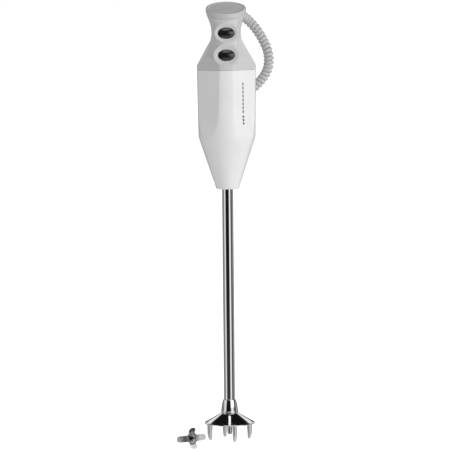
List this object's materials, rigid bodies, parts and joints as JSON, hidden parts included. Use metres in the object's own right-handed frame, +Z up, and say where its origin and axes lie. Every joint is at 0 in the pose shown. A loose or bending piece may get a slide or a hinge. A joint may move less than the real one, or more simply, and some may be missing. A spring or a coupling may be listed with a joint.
{
  "type": "immersion blender",
  "caption": "Hand-held stick blender with a faceted motor body, angled grip with push buttons, long steel shaft, footed blade guard, loose cross blade and curly mains cord.",
  "frame": {"origin": "on the shaft's axis, in the plane of the four foot tips", "axes": "+Z up along the shaft's axis, -Y towards the side with the buttons, +X to the right as seen facing the buttons"},
  "size_m": [0.1112, 0.1595, 0.486],
  "materials": {
    "shell_white": "gloss",
    "grip_grey": "satin gloss",
    "cap_grey": "satin gloss",
    "dark_seal": "matte",
    "button_black": "gloss",
    "polished_steel": "polished",
    "guard_steel": "satin",
    "screw_steel": "bright",
    "bronze": "plain",
    "white_nylon": "matte",
    "lamination": "dull",
    "copper": "enamelled",
    "cast_alloy": "cast",
    "carbon": "matte",
    "board_green": "satin",
    "switch_grey": "matte",
    "plunger_red": "satin",
    "film_yellow": "satin",
    "lead_black": "satin",
    "cord_grey": "satin",
    "plug_grey": "satin",
    "plug_metal": "plated"
  },
  "bodies": {
    "housing": {"motor_housing": "shell_white", "upper_casing": "grip_grey", "top_cap": "cap_grey", "cap_seal": "dark_seal", "joint_seal": "dark_seal", "joint_ring": "cast_alloy", "casing_screws": "screw_steel", "nose_seal": "dark_seal", "tube_collar": "screw_steel", "shaft_tube": "polished_steel", "ferrule": "polished_steel", "guard": "guard_steel", "lower_bush": "bronze", "shaft_seal": "dark_seal", "mid_bush": "bronze", "upper_bush": "bronze", "stator_core": "lamination", "field_coils": "copper", "lower_bracket": "cast_alloy", "upper_bracket": "cast_alloy", "lower_bearing": "screw_steel", "upper_bearing": "screw_steel", "motor_mount_ring": "dark_seal", "bracket_bolts": "screw_steel", "brush_holders": "bronze", "carbon_brushes": "carbon", "brush_springs": "screw_steel", "suppressor_capacitor": "film_yellow", "button_seals": "dark_seal", "button_spring_high": "screw_steel", "button_spring_low": "screw_steel", "switch_high": "switch_grey", "switch_low": "switch_grey", "circuit_board": "board_green", "inner_leads": "lead_black", "cord_clamp": "white_nylon", "clamp_screws": "screw_steel", "strain_relief": "cord_grey", "cord_coil": "cord_grey", "cord_tail": "cord_grey", "cord_tie": "dark_seal", "plug_body": "plug_grey", "plug_pins": "plug_metal"},
    "button_high": {"button_high": "button_black"},
    "button_low": {"button_low": "button_black"},
    "plunger_high": {"switch_plunger_high": "plunger_red"},
    "plunger_low": {"switch_plunger_low": "plunger_red"},
    "rotor": {"motor_shaft": "screw_steel", "armature_core": "lamination", "armature_winding": "copper", "commutator": "bronze", "cooling_fan": "white_nylon", "motor_coupling": "white_nylon"},
    "drive": {"drive_shaft": "screw_steel", "shaft_coupling": "white_nylon", "drive_pin": "screw_steel", "retaining_ring": "dark_seal"},
    "blade": {"blade_hub": "screw_steel", "blade_cutters": "guard_steel"}
  },
  "joints": [
    {"name": "button_high_press", "type": "slide", "parent": "housing", "child": "button_high", "axis": [0, 0.9848, -0.1736], "range_m": [0, 0.002], "stiffness_N_per_m": 400, "springref_m": -0.002, "deforming": ["button_spring_high"]},
    {"name": "button_low_press", "type": "slide", "parent": "housing", "child": "button_low", "axis": [0, 0.9848, -0.1736], "range_m": [0, 0.002], "stiffness_N_per_m": 400, "springref_m": -0.002, "deforming": ["button_spring_low"]},
    {"name": "plunger_high_travel", "type": "slide", "parent": "housing", "child": "plunger_high", "axis": [0, 0.9848, -0.1736], "range_m": [0, 0.002]},
    {"name": "plunger_low_travel", "type": "slide", "parent": "housing", "child": "plunger_low", "axis": [0, 0.9848, -0.1736], "range_m": [0, 0.002]},
    {"name": "rotor_spin", "type": "hinge", "parent": "housing", "child": "rotor", "pos_m": [0, 0, 0.36], "axis": [0, 0, 1], "continuous": true},
    {"name": "drive_spin", "type": "hinge", "parent": "housing", "child": "drive", "pos_m": [0, 0, 0.02], "axis": [0, 0, 1], "continuous": true},
    {"name": "blade_lift", "type": "slide", "parent": "housing", "child": "blade", "axis": [0, 0, 1], "range_m": [0, 0.04]}
  ],
  "couplings": [
    {"joint": "plunger_high_travel", "follows": "button_high_press", "ratio": 1},
    {"joint": "plunger_low_travel", "follows": "button_low_press", "ratio": 1},
    {"joint": "drive_spin", "follows": "rotor_spin", "ratio": 1}
  ]
}
